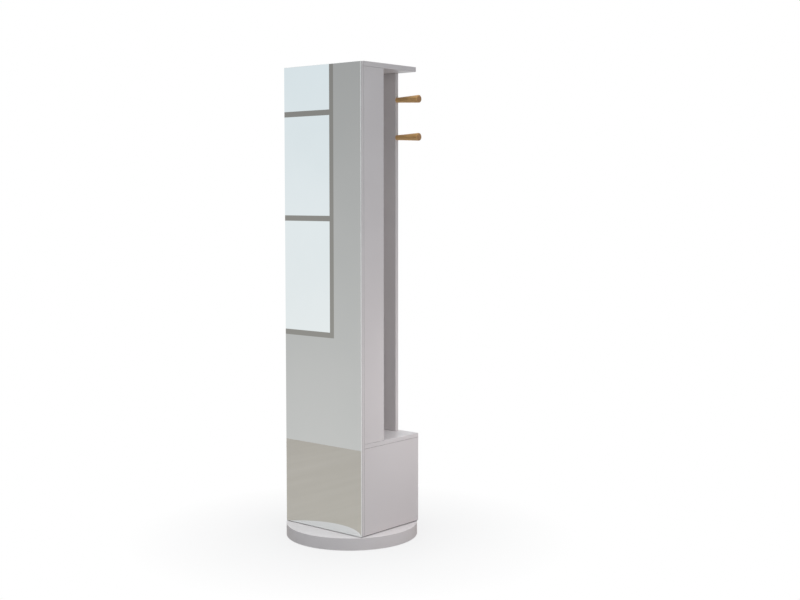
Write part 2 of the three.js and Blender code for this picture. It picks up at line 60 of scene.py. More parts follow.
# %% [markdown]
# ## The camera
#
# A tall object looks calm when its upright edges stay upright, so the camera stands well back with a
# long lens, at about chest height, and looks down only a few degrees. Standing to the mirror's right,
# it sees the mirror, one side of the cabinet and the pegs at once. A lens shift of a fiftieth of the
# picture lifts the object into the frame; a larger shift would push it out of other views.

# %% Camera
CAMERA_PLACE = Vector((3.205, -3.494, 1.284))
CAMERA_HEADING = math.radians(40.30)
CAMERA_DIP = math.radians(3.92)
FOCAL_LENGTH = 56.35
LENS_SHIFT = -0.02


def add_object(name, data):
    """A new object in the scene, made of a mesh, a lamp or a camera."""
    thing = bpy.data.objects.new(name, data)
    bpy.context.scene.collection.objects.link(thing)
    return thing


lens = bpy.data.cameras.new("camera")
lens.lens = FOCAL_LENGTH
lens.shift_y = LENS_SHIFT
camera = add_object("camera", lens)
camera.location = CAMERA_PLACE
camera.rotation_euler = (math.pi / 2 - CAMERA_DIP, 0.0, CAMERA_HEADING)
bpy.context.scene.camera = camera
bpy.context.scene.view_settings.view_transform = "Standard"
print("the camera stands", round(CAMERA_PLACE.xy.length, 2), "m from the turning axis")

# %% [markdown]
# ## Small tools for materials
#
# Every finish on the object is a Principled shader fed by a few patterns, so some small tools save a
# lot of repeating. They find a finish's shader, start a finish, add a node, join two nodes, and feed
# the shader its colour and roughness. Colours are written the way a paint chart gives them, from 0 to
# 255, and turned into the linear values that the shader wants. Values that are the same all over a
# surface are set straight on the shader.

# %% Tools for materials
def paint(red, green, blue):
    """A colour from a paint chart as the shader's linear red, green, blue and alpha."""
    channels = [value / 255 for value in (red, green, blue)]
    linear = [
        value / 12.92 if value <= 0.04045 else ((value + 0.055) / 1.055) ** 2.4 for value in channels
    ]
    return (*linear, 1.0)


def principled(finish):
    return finish.node_tree.nodes["Principled BSDF"]


def new_finish(name, **values):
    """A material with a Principled shader. Keywords are its sockets, with _ for a space."""
    finish = bpy.data.materials.new(name)
    finish.use_nodes = True
    for socket, value in values.items():
        principled(finish).inputs[socket.replace("_", " ")].default_value = value
    return finish


def add_node(owner, kind, sockets=None, **settings):
    """A node in a material or in the world, with values for its sockets and its own settings."""
    node = owner.node_tree.nodes.new(kind)
    for name, value in settings.items():
        setattr(node, name, value)
    for name, value in (sockets or {}).items():
        node.inputs[name].default_value = value
    return node


def join(owner, source, target):
    owner.node_tree.links.new(source, target)


def feed(finish, colour, roughness=None):
    """Gives a finish a patterned colour and, if asked, a patterned roughness."""
    join(finish, colour, principled(finish).inputs["Base Color"])
    if roughness is not None:
        join(finish, roughness, principled(finish).inputs["Roughness"])


print("a grey of 128 on the chart is", round(paint(128, 128, 128)[0], 3), "for the shader")

# %% [markdown]
# ## Small tools for patterns
#
# Nearly every pattern here starts as noise. Where the coordinates are shrunk along one axis, the noise
# is drawn out along it, like grain. The other tools stretch a pattern onto new values, multiply it,
# turn it into a colour between two tones, or raise the surface by it, and the last one makes a whole
# finish from a single pattern. All patterns are fixed to the piece, so they move with it.

# %% Tools for patterns
# A mix node has sockets for several kinds of value. These are the ones that carry colours.
MIX_SHARE = 0
MIX_FIRST = 6
MIX_SECOND = 7
MIX_RESULT = 2

# Noise seldom leaves these values.
NOISE_LOW = 0.3
NOISE_HIGH = 0.7


def coordinates(finish, kind="Object"):
    """Where a point lies on its piece or, with "Normal", which way the surface faces there."""
    return add_node(finish, "ShaderNodeTexCoord").outputs[kind]


def speckle(finish, per_metre, stretch=(1.0, 1.0, 1.0), detail=2.0, wander=0.0):
    """A noise pattern from 0 to 1, drawn out along an axis where stretch is small."""
    scaled = add_node(finish, "ShaderNodeMapping", {"Scale": stretch})
    join(finish, coordinates(finish), scaled.inputs["Vector"])
    noise = add_node(finish, "ShaderNodeTexNoise", {
        "Scale": per_metre, "Detail": detail, "Distortion": wander,
    })
    join(finish, scaled.outputs["Vector"], noise.inputs["Vector"])
    return noise.outputs["Fac"]


def between(finish, pattern, low=NOISE_LOW, high=NOISE_HIGH, to_low=0.0, to_high=1.0):
    """A pattern stretched from low..high onto to_low..to_high, and held there."""
    spread = add_node(finish, "ShaderNodeMapRange", {
        "From Min": low, "From Max": high, "To Min": to_low, "To Max": to_high,
    })
    join(finish, pattern, spread.inputs["Value"])
    return spread.outputs["Result"]


def two_tones(owner, pattern, first, second):
    """A colour between two tones, or between two other colours, by a pattern from 0 to 1."""
    mix = add_node(owner, "ShaderNodeMix", data_type="RGBA")
    for socket, tone in ((mix.inputs[MIX_FIRST], first), (mix.inputs[MIX_SECOND], second)):
        if isinstance(tone, tuple):
            socket.default_value = tone
        else:
            join(owner, tone, socket)
    join(owner, pattern, mix.inputs[MIX_SHARE])
    return mix.outputs[MIX_RESULT]


def times(owner, first, second):
    """A pattern multiplied by a number or by another pattern."""
    product = add_node(owner, "ShaderNodeMath", operation="MULTIPLY")
    join(owner, first, product.inputs[0])
    if isinstance(second, float):
        product.inputs[1].default_value = second
    else:
        join(owner, second, product.inputs[1])
    return product.outputs["Value"]


def relief(finish, pattern, depth, strength, after=None):
    """Raises the surface by a pattern, depth in metres. One relief can follow another."""
    bump = add_node(finish, "ShaderNodeBump", {"Distance": depth, "Strength": strength})
    join(finish, pattern, bump.inputs["Height"])
    if after is not None:
        join(finish, after, bump.inputs["Normal"])
    join(finish, bump.outputs["Normal"], principled(finish).inputs["Normal"])
    return bump.outputs["Normal"]


def grained(name, per_metre, dark, light, roughness, depth=0.0, strength=1.0,
            stretch=(1.0, 1.0, 1.0), detail=2.0, **values):
    """A finish whose colour, gloss and relief all follow one pattern."""
    finish = new_finish(name, **values)
    pattern = speckle(finish, per_metre, stretch, detail)
    gloss = between(finish, pattern, to_low=roughness[0], to_high=roughness[1])
    feed(finish, two_tones(finish, pattern, dark, light), gloss)
    if depth:
        relief(finish, pattern, depth, strength)
    return finish


print("pattern tools are ready")

# %% [markdown]
# ## Satin lacquer
#
# The carcass and the base are fibreboard with a sprayed, off-white satin lacquer. A sprayed film is
# never quite even. Its tone drifts by a few parts in a hundred over a board, its gloss is patchy, and
# the surface has the fine dimples that painters call orange peel. Edges are thin spots: hands and
# cloths polish them a little lighter. Where two boards meet, the groove between their rounded edges
# is painted darker: partly dust, partly painted shade. Both patterns come from numbers stored on the
# faces of the mesh: "edge" on the free rounded edges, and a mark of painted shade and dust on those in
# a joint and, at its full value, on the cabinet's underside, which stands close above the base: there
# the dark tone is painted shade that deepens the narrow gap. Measuring edges in the shader would also
# work, but that is slow and is lost when the model is saved for other programs.

# %% Satin lacquer
lacquer = new_finish(
    "satin_lacquer", Specular_IOR_Level=0.42, Coat_Weight=0.10, Coat_Roughness=0.28,
)
drift = between(lacquer, speckle(lacquer, 1.7, detail=3.0))
sprayed = two_tones(lacquer, drift, paint(212, 207, 206), paint(219, 215, 214))
on_edge = add_node(lacquer, "ShaderNodeAttribute", attribute_name="edge").outputs["Fac"]
handled = between(lacquer, speckle(lacquer, 38.0, detail=3.0), 0.4, 0.8, to_high=0.35)
rubbed = two_tones(lacquer, times(lacquer, on_edge, handled), sprayed, paint(232, 229, 227))
# A face mark of painted shade and dust: a share of it in joints, its full value on the underside over the
# gap.
painted_shade_and_dust_share = add_node(lacquer, "ShaderNodeAttribute", attribute_name="painted_shade_and_dust").outputs["Fac"]
# The dark tone is dust and painted shade in the joints, and all painted shade on the cabinet's underside.
shaded = two_tones(lacquer, painted_shade_and_dust_share, rubbed, paint(84, 81, 80))
gloss = between(lacquer, speckle(lacquer, 9.0, detail=4.0), to_low=0.34, to_high=0.46)
feed(lacquer, shaded, gloss)
dimples = relief(lacquer, speckle(lacquer, 330.0, detail=1.0), depth=0.05 * MM, strength=0.35)
relief(lacquer, speckle(lacquer, 14.0), depth=0.15 * MM, strength=0.30, after=dimples)
print("lacquer:", len(lacquer.node_tree.nodes), "nodes")

# %% [markdown]
# ## Mirror glass
#
# A mirror is a sheet of float glass with a film of silver on its back and grey paint over the silver.
# Seen from the front, nearly all the light comes back from the silver, so the face is best made as a
# clean metal with the faint green of the glass. A sheet of real refracting glass over a metal one is
# the other way. It takes longer to render and shows a difference only at the very edge. The edges
# are ground, a fine matt surface. Their near-white colour is partly the pale matt of ground glass and
# partly painted light, which stands in for the light that a real edge gathers from inside the sheet,
# so they show as thin, bright lines.

# %% Mirror silver, ground edge and backing paint
silver = new_finish("mirror_silver", Metallic=1.0, Specular_IOR_Level=0.5)
breath = between(silver, speckle(silver, 2.3, detail=4.0), 0.35, 0.7)
silver_tone = two_tones(silver, breath, paint(247, 250, 249), paint(242, 246, 245))
wiped = between(silver, speckle(silver, 5.0, (1.0, 1.0, 0.35), detail=5.0), 0.58, 0.85, to_high=0.035)
feed(silver, silver_tone, wiped)

# The ground edge's near-white tones are partly painted light: the glow a real edge gets from inside the
# sheet.
ground_edge_painted_light = grained(
    "ground_glass_edge_painted_light", 900.0, paint(244, 246, 243), paint(252, 252, 249), roughness=(0.3, 0.5),
    depth=0.03 * MM, strength=0.4, Specular_IOR_Level=0.8, Coat_Weight=0.8, Coat_Roughness=0.25,
)
backing_paint = grained(
    "mirror_backing_paint", 60.0, paint(96, 100, 103), paint(112, 116, 118), roughness=(0.55, 0.7),
    stretch=(1.0, 1.0, 0.1), detail=4.0, Specular_IOR_Level=0.3,
)
print("mirror finishes:", silver.name, ground_edge_painted_light.name, backing_paint.name)

# %% [markdown]
# ## Turned oak
#
# The pegs are turned from straight-grained oak, so the grain runs along each peg and the cutter opens
# it into long, narrow figures. Three patterns make it: growth rings seen almost edge-on, drawn out
# forty times along the peg; darker pores, which are short dashes; and a slow change of tone from one
# peg to the next. A picture of oak would look the same on all four pegs, but these patterns fill
# space, so each peg is cut from a different part of the plank. On the end of a peg the wood is cut
# across and drinks in more finish, so a surface that faces along the peg is darker. The finish is a
# thin matt lacquer: the pores stay open and can be felt.

# %% Turned oak
def on_axis(finish, axis, kind="Object"):
    """How far along an axis a point lies or, with "Normal", how far the surface leans that way."""
    split = add_node(finish, "ShaderNodeSeparateXYZ")
    join(finish, coordinates(finish, kind), split.inputs["Vector"])
    return split.outputs[axis]


def faces_along(finish, axis):
    """How squarely the surface faces along an axis, to either side: 0 not at all, 1 straight on."""
    lean = on_axis(finish, axis, "Normal")
    size = add_node(finish, "ShaderNodeMath", operation="ABSOLUTE")
    join(finish, lean, size.inputs[0])
    return size.outputs["Value"]


oak = new_finish("turned_oak", Specular_IOR_Level=0.4, Coat_Weight=0.12, Coat_Roughness=0.3)
rings = between(oak, speckle(oak, 260.0, (0.025, 1.0, 1.0), detail=3.0, wander=0.6), 0.35, 0.65)
ringed = two_tones(oak, rings, paint(224, 181, 118), paint(198, 150, 91))
pores = between(oak, speckle(oak, 900.0, (0.04, 1.0, 1.0), detail=1.0), 0.62, 0.72)
open_grain = two_tones(oak, times(oak, pores, 0.65), ringed, paint(108, 71, 35))
plank = between(oak, speckle(oak, 7.0, detail=1.0), to_high=0.35)
long_grain = two_tones(oak, plank, open_grain, paint(228, 188, 129))
at_end = between(oak, faces_along(oak, "X"), 0.35, 0.9)
oak_tone = two_tones(oak, at_end, long_grain, paint(177, 134, 86))
feed(oak, oak_tone, between(oak, rings, 0.0, 1.0, to_low=0.42, to_high=0.56))
grain = relief(oak, pores, depth=-0.08 * MM, strength=0.6)
relief(oak, rings, depth=0.03 * MM, strength=0.5, after=grain)
print("oak:", len(oak.node_tree.nodes), "nodes")

# %% [markdown]
# ## Metals
#
# There are three metals. The clothes rail and its flanges are chromed, which is close to a mirror with
# faint finger marks. The turntable's rings are turned aluminium, left as they come. The drawer runners
# and the turntable's ball cage are zinc plated: zinc sets in crystals, which show as pale, angular
# patches of slightly different gloss. The screws are plated too, but brighter and with much finer
# crystals. One metal in several colours would be less work. But bright metal shows its surroundings
# more than its colour, and what tells one from another is the pattern of its gloss, so each has a
# pattern of its own.

# %% Chrome and aluminium
chrome = new_finish("chrome_plate", Metallic=1.0)
marks = between(chrome, speckle(chrome, 26.0, detail=5.0), 0.45, 0.75)
chrome_tone = two_tones(chrome, marks, paint(228, 230, 232), paint(214, 216, 219))
feed(chrome, chrome_tone, between(chrome, marks, 0.0, 1.0, to_low=0.05, to_high=0.16))

aluminium = grained(
    "turned_aluminium", 700.0, paint(188, 191, 195), paint(206, 208, 211), roughness=(0.28, 0.42),
    depth=0.02 * MM, strength=0.4, stretch=(1.0, 1.0, 0.2), Metallic=1.0,
)
print("plain metals:", chrome.name, aluminium.name)

# %% Zinc
def zinc_plate(name, crystals_per_metre, dark_tone, light_tone):
    """A plating of crystals, each with a tone and a gloss of its own."""
    finish = new_finish(name, Metallic=1.0)
    crystals = add_node(finish, "ShaderNodeTexVoronoi", {"Scale": crystals_per_metre})
    join(finish, coordinates(finish), crystals.inputs["Vector"])
    patch = between(finish, crystals.outputs["Color"], 0.0, 1.0)
    tone = two_tones(finish, patch, dark_tone, light_tone)
    feed(finish, tone, between(finish, patch, 0.0, 1.0, to_low=0.30, to_high=0.44))
    relief(finish, speckle(finish, 1400.0), depth=0.01 * MM, strength=0.3)
    return finish


zinc = zinc_plate("zinc_plate", 260.0, paint(196, 198, 200), paint(215, 216, 217))
screw_zinc = zinc_plate("bright_zinc_plate", 1500.0, paint(224, 225, 226), paint(240, 240, 240))
print("plated metals:", zinc.name, screw_zinc.name)

# %% [markdown]
# ## Plywood and rubber
#
# The drawer boxes, the base's bottom and its support ring are birch plywood. Its faces show broad,
# soft figure because the veneer is peeled off the log like paper from a roll. Its edges show the
# layers, light and dark in turn, a millimetre and a half each. One material does both: it looks at
# which way the surface faces and draws layers wherever that isn't along the board's thickness. So there
# is one version for each axis that a board's thickness can lie along. The foot pads are plain black
# rubber with a dull, slightly pitted skin.

# %% Birch plywood and rubber
def birch_plywood(thin_along):
    """Birch plywood for a board whose thickness lies along X, Y or Z."""
    finish = new_finish(f"birch_plywood_{thin_along.lower()}", Specular_IOR_Level=0.35)
    layers = add_node(
        finish, "ShaderNodeTexWave", {"Scale": 105.0, "Distortion": 0.4, "Detail": 1.0},
        bands_direction=thin_along,
    )
    join(finish, coordinates(finish), layers.inputs["Vector"])
    layer_tone = two_tones(finish, layers.outputs["Fac"], paint(184, 148, 106), paint(228, 206, 170))

    drawn_out = (0.2, 1.0, 1.0) if thin_along == "Y" else (1.0, 0.2, 1.0)
    figure = between(finish, speckle(finish, 46.0, drawn_out, detail=4.0, wander=1.2))
    face_tone = two_tones(finish, figure, paint(233, 214, 183), paint(217, 193, 156))
    is_face = between(finish, faces_along(finish, thin_along), 0.55, 0.75)
    gloss = between(finish, figure, 0.0, 1.0, to_low=0.48, to_high=0.62)
    feed(finish, two_tones(finish, is_face, layer_tone, face_tone), gloss)
    relief(finish, speckle(finish, 620.0, drawn_out), depth=0.04 * MM, strength=0.4)
    return finish


plywood = {axis: birch_plywood(axis) for axis in "XYZ"}

rubber = grained(
    "foot_rubber", 1200.0, paint(38, 38, 40), paint(52, 52, 54), roughness=(0.7, 0.9),
    depth=0.06 * MM, strength=0.5, Specular_IOR_Level=0.3,
)
print("plywood for boards that are thin along", ", ".join(plywood))

# %% [markdown]
# ## Small tools for pieces
#
# A piece is built as a bmesh, which is a mesh that can be edited step by step. When its form is ready,
# `dress` makes it stand for a solid of the frame: the piece takes over that solid's body, gets the
# finishes that it is given, and the solid is hidden. Where a solid has its true form already,
# `refinish` keeps it, gives it a finish and can soften its edges. A dressed piece gets weighted
# normals, which shade each surface by its largest faces: large flats stay flat and only the narrow
# rounded edges catch the light.

# %% Tools for pieces
SHARP_FROM = math.radians(40)
SOFT_EDGE_STEPS = 2

record = frame["record"]
body_of = {node: body for body, nodes in record["behaviour"]["bodies"].items() for node in nodes}
slot_of = {part["node"]: part["material_slot"] for part in record["subparts"]}


def make_object(name, form, *finishes):
    """Turns a bmesh into an object that is shaded smooth, apart from its sharp edges."""
    bmesh.ops.recalc_face_normals(form, faces=form.faces)
    mesh = bpy.data.meshes.new(name)
    form.to_mesh(mesh)
    form.free()
    for finish in finishes:
        mesh.materials.append(finish)
    mesh.shade_smooth()
    mesh.set_sharp_from_angle(angle=SHARP_FROM)
    piece = add_object(name, mesh)
    normals = piece.modifiers.new("even_shading", "WEIGHTED_NORMAL")
    normals.keep_sharp = True
    return piece


def dress(node, form, *finishes):
    """A finished piece that stands for one solid of the frame."""
    piece = make_object(f"dressed_{node}", form, *finishes)
    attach(piece, body_of[node])
    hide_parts(node)


def refinish(node, finish, rounding=0.0):
    """Keeps a solid of the frame, gives it a finish and, if asked, softens its edges."""
    solid = frame["nodes"][node]
    solid.material_slots[0].material = finish
    if rounding:
        softened = solid.modifiers.new("softened_edges", "BEVEL")
        softened.width = rounding
        softened.segments = SOFT_EDGE_STEPS
        softened.limit_method = "ANGLE"
        softened.angle_limit = SHARP_FROM
        softened.harden_normals = True


print("piece tools are ready")

# %% [markdown]
# ## Boards with softened edges
#
# A sawn board has its edges broken with fine paper before it is sprayed, and the lacquer rounds them
# further, to about a millimetre. Such an edge is what makes a board look real: it draws a thin bright
# line where it faces the light and a thin dark one where two boards meet, which painted shade and dust
# make darker still. The board is a box whose twelve edges are bevelled in three steps. The narrow faces
# made by that are the only ones that face along none of the axes, and those that lie within a
# millimetre or so of another board are in a joint.

# %% A block with softened edges
BOARD_EASE = 1.0 * MM
EASE_STEPS = 3


def round_edges(form, edges, width, steps=EASE_STEPS):
    bmesh.ops.bevel(form, geom=edges, offset=width, segments=steps, profile=0.5, affect="EDGES")


def eased_block(low, high, ease, steps=EASE_STEPS):
    """A block between two corners, with all its edges rounded."""
    form = bmesh.new()
    bmesh.ops.create_cube(form, size=1.0)
    bmesh.ops.scale(form, vec=high - low, verts=form.verts)
    bmesh.ops.translate(form, vec=(low + high) / 2, verts=form.verts)
    round_edges(form, form.edges[:], ease, steps)
    return form


print("a board's edges are rounded by", round(BOARD_EASE / MM, 1), "mm")

# %% Marks for the lacquer
SEAM_REACH = 1.4 * MM
SEAM_SHADE = 0.3
FLAT_FACING = 0.999
ROUND_FROM = 0.05


def distance_to_box(point, low, high):
    outside = [max(low[axis] - point[axis], 0.0, point[axis] - high[axis]) for axis in range(3)]
    return Vector(outside).length


def runs_along(face, box):
    """True where the whole face lies close to a box."""
    return all(distance_to_box(point.co, *box) < SEAM_REACH for point in face.verts)


def mark_edges(form, is_rounded, neighbours=(), gap_below=False):
    """Marks free rounded edges, and paints shade and dust into joints and full shade under a gap."""
    edge = form.faces.layers.float.new("edge")
    painted_shade_and_dust = form.faces.layers.float.new("painted_shade_and_dust")
    form.normal_update()
    for face in form.faces:
        # Over the gap to the base, every face that looks down is painted in full shade.
        if gap_below and face.normal.z < -ROUND_FROM:
            face[painted_shade_and_dust] = 1.0
        elif is_rounded(face.normal):
            in_joint = any(runs_along(face, box) for box in neighbours)
            if in_joint:
                # A joint gets a share of the painted shade and dust.
                face[painted_shade_and_dust] = SEAM_SHADE
            else:
                face[edge] = 1.0
    return form


def slants(normal):
    """True where a surface faces along none of the three axes, as only rounded edges do on a board."""
    return max(abs(normal.x), abs(normal.y), abs(normal.z)) < FLAT_FACING


def leans(axis):
    """A test that is true where a surface leans towards one axis, but doesn't face straight along it."""
    return lambda normal: ROUND_FROM < abs(getattr(normal, axis)) < FLAT_FACING


print("a joint reaches", round(SEAM_REACH / MM, 1), "mm from the next board")

# %% Boards
lacquered_boards = [node for node in body_of if body_of[node] == "cabinet" and slot_of[node] == "lacquer"]
cabinet_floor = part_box("bottom_board")[0].z
for node in lacquered_boards:
    low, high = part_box(node)
    others = [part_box(other) for other in (*lacquered_boards, "mirror_glass") if other != node]
    # Boards that stand at the cabinet's floor get painted shade on their undersides, over the gap.
    over_gap = low.z < cabinet_floor + BOARD_EASE
    dress(node, mark_edges(eased_block(low, high, BOARD_EASE), slants, others, over_gap), lacquer)
    print(node, "x".join(str(round(side / MM)) for side in high - low), "mm")

# %% [markdown]
# ## The mirror
#
# The sheet is 5 mm thick and its rim is ground in two strokes: the edge itself, and a narrow flat at
# 45 degrees, the arris, that takes off the sharpness. So the block is bevelled in one step only, and
# each face gets its finish by the way it looks: silver to the front, paint to the back, ground glass
# everywhere else.

# %% Mirror glass
GLASS_ARRIS = 0.8 * MM
SILVERED, GROUND, PAINTED = range(3)

low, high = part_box("mirror_glass")
sheet = eased_block(low, high, GLASS_ARRIS, steps=1)
sheet.normal_update()
for face in sheet.faces:
    if face.normal.y < -FLAT_FACING:
        face.material_index = SILVERED
    elif face.normal.y > FLAT_FACING:
        face.material_index = PAINTED
    else:
        face.material_index = GROUND
dress("mirror_glass", sheet, silver, ground_edge_painted_light, backing_paint)
print("mirror", round(high.x - low.x, 3), "x", round(high.z - low.z, 3), "m")

# %% [markdown]
# ## Turned forms
#
# The base, the pegs, the rail and the feet are all round, so each is a profile that is spun about a
# line, as on a lathe. The tool spins a closed profile of radius and height about Z, merges the points
# that meet on the axis, and can then lay the form along another direction. Corners of a profile are
# rounded by a short run of points on an arc.

# %% A lathe
UP = Vector((0.0, 0.0, 1.0))
SAME_POINT = 0.001 * MM


def arc(centre, radius, start, end, steps, rise=None):
    """Points on a circle or, if it has a rise of its own, on an ellipse. 0 degrees is outwards, 90 up."""
    rise = rise or radius
    angles = [math.radians(start + (end - start) * step / steps) for step in range(steps + 1)]
    return [
        (centre[0] + radius * math.cos(angle), centre[1] + rise * math.sin(angle)) for angle in angles
    ]


def lathe(profile, steps):
    """Spins a closed profile of radius and height round Z."""
    form = bmesh.new()
    points = [form.verts.new((radius, 0.0, height)) for radius, height in profile]
    lines = [form.edges.new(pair) for pair in zip(points, points[1:] + points[:1])]
    bmesh.ops.spin(
        form, geom=points + lines, angle=2 * math.pi, steps=steps,
        axis=UP, cent=(0.0, 0.0, 0.0), use_merge=True,
    )
    bmesh.ops.remove_doubles(form, verts=form.verts, dist=SAME_POINT)
    return form


def pointing(direction, place):
    """The matrix that turns Z towards a direction and moves the origin to a place."""
    return Matrix.Translation(place) @ UP.rotation_difference(Vector(direction)).to_matrix().to_4x4()


def lay_along(form, direction, place):
    """Turns a lathed form so that its height points along direction, and moves its foot to place."""
    bmesh.ops.transform(form, matrix=pointing(direction, place), verts=form.verts)
    return form


print("the lathe is ready")

# %% [markdown]
# ## The round base
#
# The base is a drum with a bent rim and an 18 mm top, sprayed like the boards. The turntable is let
# into a round recess in its top, where the cabinet hides it. Once the bottom plate is in, only the
# outer skin and the recess can be seen, but the drum is modelled as the hollow it is, so that it still
# looks right when the pieces are shown apart. It is spun in 256 steps, so its outline stays round
# when it fills a picture.

# %% Base drum
DRUM_STEPS = 256
DRUM_EDGE = 1.6 * MM
DRUM_WALL = 18 * MM
DRUM_REBATE = 8 * MM
RECESS_GAP = 1 * MM
RING_SEAT = 20 * MM
HAIRLINE = 0.2 * MM

drum_low, drum_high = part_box("base_drum")
drum_radius = drum_high.x
plate_low, plate_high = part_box("base_bottom_plate")
ring_low, ring_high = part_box("turntable_outer_ring")
well_radius = ring_high.x - RING_SEAT
recess_radius = ring_high.x + RECESS_GAP
recess_floor = ring_low.z - HAIRLINE
drum_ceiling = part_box("base_support_ring")[1].z + HAIRLINE
wall_inside = drum_radius - DRUM_WALL
rebate_top = plate_high.z + HAIRLINE
foot_edge = DRUM_EDGE / 2
drum_profile = [
    *arc((drum_radius - foot_edge, drum_low.z + foot_edge), foot_edge, -90, 0, steps=3),
    *arc((drum_radius - DRUM_EDGE, drum_high.z - DRUM_EDGE), DRUM_EDGE, 0, 90, steps=5),
    (recess_radius, drum_high.z),
    (recess_radius, recess_floor),
    (well_radius, recess_floor),
    (well_radius, drum_ceiling),
    (wall_inside, drum_ceiling),
    (wall_inside, rebate_top),
    (wall_inside + DRUM_REBATE, rebate_top),
    (wall_inside + DRUM_REBATE, drum_low.z),
]
dress("base_drum", mark_edges(lathe(drum_profile, DRUM_STEPS), leans("z")), lacquer)
print("drum", round(2 * drum_radius, 3), "m across and", round(drum_high.z - drum_low.z, 3), "m high")

# %% [markdown]
# ## Feet and the base's inner parts
#
# Six rubber pads keep the lacquered rim off the floor. Each is a flat disc with a rounded lower edge.
# The bottom plate, the support ring, the two bearing rings and the ball cage already have their true
# shape, so they stay as they are and only get a finish. The plate and the bearing rings can be seen
# when the base is turned over or taken apart, so they get slightly softened edges too.

# %% Foot pads, base plate and turntable
PAD_COUNT = 6
PAD_ROUND = 0.5 * MM
PAD_STEPS = 48
PLATE_EASE = 0.4 * MM
RING_EASE = 0.3 * MM

for number in range(PAD_COUNT):
    node = f"foot_pad_{number + 1}"
    low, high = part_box(node)
    radius, thickness = (high.x - low.x) / 2, high.z - low.z
    pad_profile = [
        (0.0, 0.0),
        *arc((radius - PAD_ROUND, PAD_ROUND), PAD_ROUND, -90, 0, steps=4),
        (radius, thickness),
        (0.0, thickness),
    ]
    foot = Vector(((low.x + high.x) / 2, (low.y + high.y) / 2, low.z))
    dress(node, lay_along(lathe(pad_profile, PAD_STEPS), UP, foot), rubber)

refinish("base_bottom_plate", plywood["Z"], PLATE_EASE)
refinish("base_support_ring", plywood["Z"])
refinish("turntable_outer_ring", aluminium, RING_EASE)
refinish("turntable_inner_ring", aluminium, RING_EASE)
refinish("turntable_ball_cage", zinc)
print(PAD_COUNT, "pads of", round(2 * radius / MM), "mm")

# %% [markdown]
# ## The pegs
#
# Each peg grows from 19 mm at the board to 29 mm at its end, so that what hangs on it can't slip off.
# The end is a shallow dome with a rounded rim. The taper isn't a straight cone: a turner lets it sweep
# outwards a little faster towards the end, and a gentle curve catches the light better than a line.
# The profile starts at the board's edge; the tenon behind it is glued into the board out of sight.

# %% A peg's profile
PEG_ROOT_RADIUS = 9.5 * MM
PEG_RIM_ROUND = 4.0 * MM
PEG_DOME = 1.5 * MM
PEG_SWEEP_STEPS = 14
PEG_SWEEP_POWER = 1.15
PEG_RIM_END = 80
PEG_RIM_STEPS = 7
PEG_DOME_STEPS = 5


def peg_profile(tip_radius, reach):
    """The swept stem, the rounded rim and the dome, from the board's edge outwards."""
    rim_start = reach - PEG_RIM_ROUND - PEG_DOME
    sweep = []
    for step in range(PEG_SWEEP_STEPS + 1):
        share = step / PEG_SWEEP_STEPS
        radius = PEG_ROOT_RADIUS + (tip_radius - PEG_ROOT_RADIUS) * share ** PEG_SWEEP_POWER
        sweep.append((radius, HAIRLINE + (rim_start - HAIRLINE) * share))
    rim = arc((tip_radius - PEG_RIM_ROUND, rim_start), PEG_RIM_ROUND, 0, PEG_RIM_END, PEG_RIM_STEPS)
    dome_radius, dome_start = rim[-1]
    dome = arc((0.0, dome_start), dome_radius, 0, 90, PEG_DOME_STEPS, rise=reach - dome_start)
    return [(0.0, HAIRLINE), *sweep, *rim[1:], *dome[1:-1], (0.0, reach)]


print("a peg is", round(2 * PEG_ROOT_RADIUS / MM), "mm thick at the board")

# %% Pegs
SIDES = {"left": -1, "right": 1}
LEVELS = ("lower", "upper")
PEG_STEPS = 64

board_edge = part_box("rear_board")[1].x
for side_word, side in SIDES.items():
    for level in LEVELS:
        node = f"peg_{side_word}_{level}"
        low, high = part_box(node)
        reach = max(abs(low.x), abs(high.x)) - board_edge
        peg = lathe(peg_profile((high.z - low.z) / 2, reach), PEG_STEPS)
        foot = Vector((side * board_edge, (low.y + high.y) / 2, (low.z + high.z) / 2))
        dress(node, lay_along(peg, (side, 0, 0), foot), oak)
        print(node, "reaches", round(reach / MM), "mm at height", round(foot.z, 3), "m")

# %% [markdown]
# ## The clothes rail
#
# A chromed tube runs from the mirror's backing to the rear board, one end in each flanged cup. The
# tube's wall is 1.5 mm, and its ends are deburred. A flange is a plate with a rounded rim and a short
# collar; the small hollow between plate and collar is where a real pressing has its bend radius.
# Plain cylinders would do from afar, but chrome draws a line of light along each edge, so the
# profiles have the real edges' bevels and bends.

# %% Rail
RAIL_STEPS = 96
RAIL_WALL = 1.5 * MM
BURR = 0.3 * MM

low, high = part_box("clothes_rail")
rail_radius = (high.x - low.x) / 2
rail_length = high.y - low.y
rail_height = (low.z + high.z) / 2
bore = rail_radius - RAIL_WALL
tube_profile = [
    (bore, BURR),
    (bore + BURR, 0.0),
    (rail_radius - BURR, 0.0),
    (rail_radius, BURR),
    (rail_radius, rail_length - BURR),
    (rail_radius - BURR, rail_length),
    (bore + BURR, rail_length),
    (bore, rail_length - BURR),
]
foot = Vector((0.0, low.y, rail_height))
dress("clothes_rail", lay_along(lathe(tube_profile, RAIL_STEPS), (0, 1, 0), foot), chrome)
print("rail", round(rail_length, 3), "m long at height", round(rail_height, 3), "m")

# %% Flanges
FLANGE_PLATE = 3.0 * MM
COLLAR_GAP = 0.3 * MM
COLLAR_WALL = 2.2 * MM
BEND = 1.2 * MM

